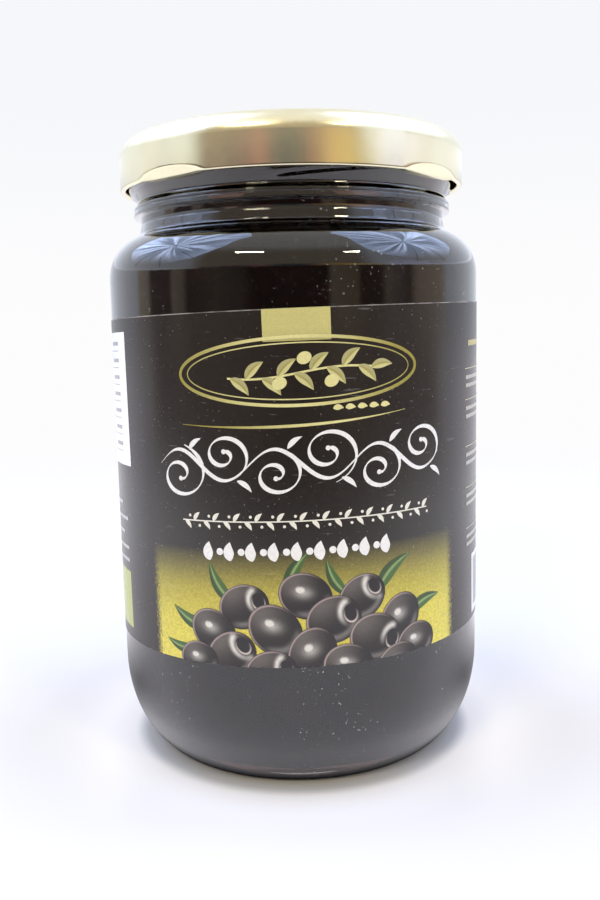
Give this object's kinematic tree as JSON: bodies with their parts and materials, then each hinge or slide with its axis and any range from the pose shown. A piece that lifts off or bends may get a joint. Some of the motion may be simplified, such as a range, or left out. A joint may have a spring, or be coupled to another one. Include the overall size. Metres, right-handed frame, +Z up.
{
  "type": "jar of olives",
  "caption": "Shut glass twist-off jar of pitted black olives in dark brine, with a gold lacquered steel lid and a dark wrap-round paper label.",
  "frame": {"origin": "centre of the base, on the surface that the jar stands on", "axes": "+Z up along the jar's axis, -Y towards the front of the label, +X to the right seen from the front"},
  "size_m": [0.0724, 0.072, 0.1167],
  "materials": {
    "glass": "clear flint glass, polished by fire, with a faint grey-green cast in its thick base",
    "gold_lacquer": "tinplate under clear pale gold lacquer, glossy, with fine drawing marks down its side",
    "label_paper": "coated paper printed near black, semi-gloss, with a pale cut edge",
    "olive_skin": "smooth wet olive skin, brown-black"
  },
  "bodies": {
    "root": {"jar_glass": "glass", "lid": "gold_lacquer", "label": "label_paper", "olives": "olive_skin"}
  },
  "joints": []
}
